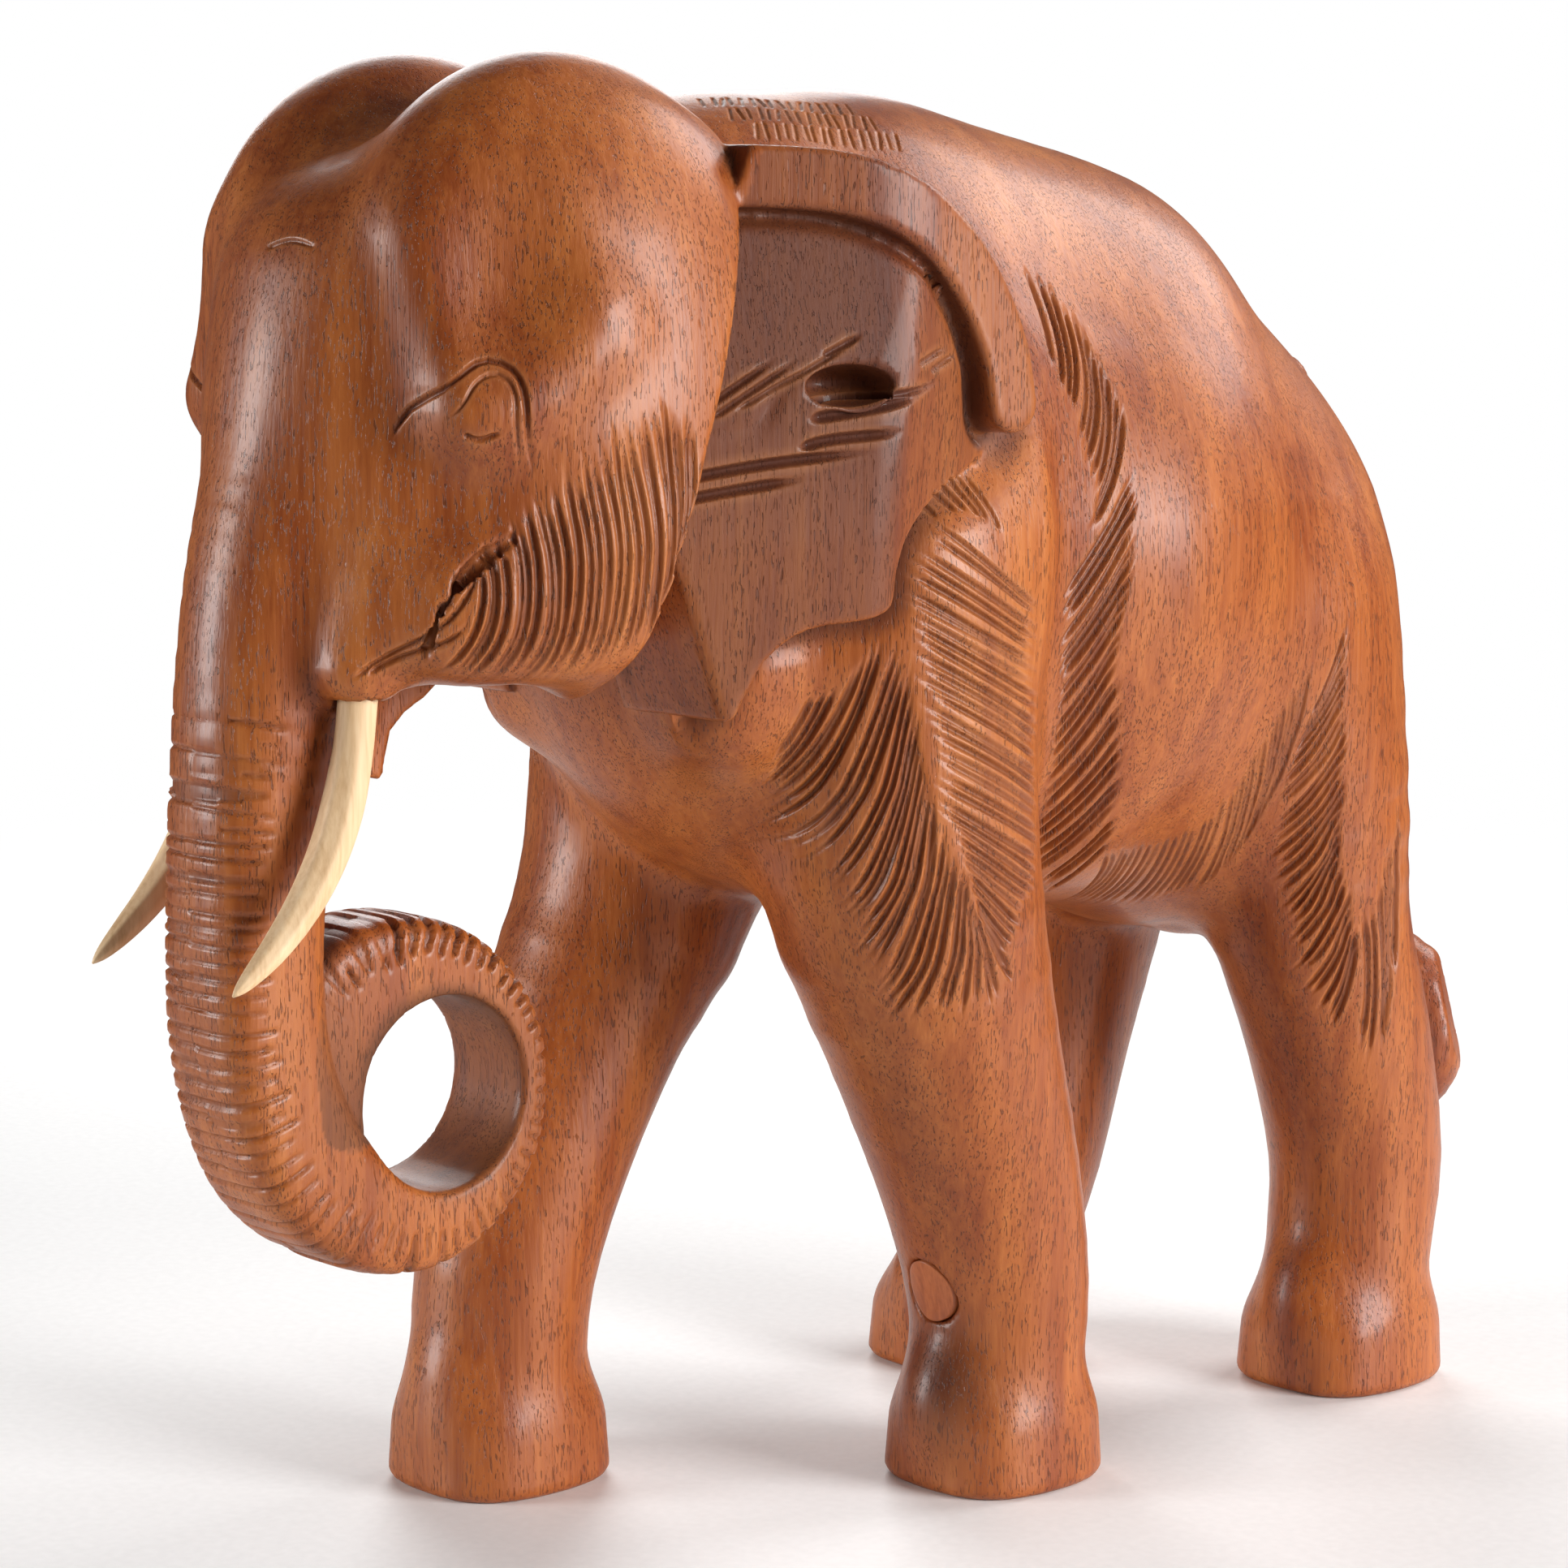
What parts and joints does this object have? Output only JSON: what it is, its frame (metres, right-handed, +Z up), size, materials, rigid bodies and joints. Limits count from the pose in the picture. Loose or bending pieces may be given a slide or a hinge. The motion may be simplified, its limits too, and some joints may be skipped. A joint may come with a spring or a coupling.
{
  "type": "carved wooden elephant figurine",
  "caption": "Walking elephant carved from one block of wood, trunk curled into a round loop, with pale push-fit wooden tusks.",
  "frame": {"origin": "on the ground, under the middle of the whole figure's box", "axes": "+Z up, -Y the way the face looks (the figure's length), +X the elephant's left side"},
  "size_m": [0.1286, 0.3434, 0.2987],
  "materials": {
    "teak": "satin lacquer",
    "patch_wood": "satin lacquer",
    "tusk_wood": "bare, sanded"
  },
  "bodies": {
    "figure": {"carved_body": "teak", "ankle_patch": "patch_wood"},
    "tusk_left": {"tusk_left": "tusk_wood"},
    "tusk_right": {"tusk_right": "tusk_wood"}
  },
  "joints": [
    {"name": "tusk_left_pull", "type": "slide", "parent": "figure", "child": "tusk_left", "axis": [0, -0.1191, -0.9929], "range_m": [0, 0.018]},
    {"name": "tusk_right_pull", "type": "slide", "parent": "figure", "child": "tusk_right", "axis": [0, -0.1191, -0.9929], "range_m": [0, 0.018]}
  ]
}
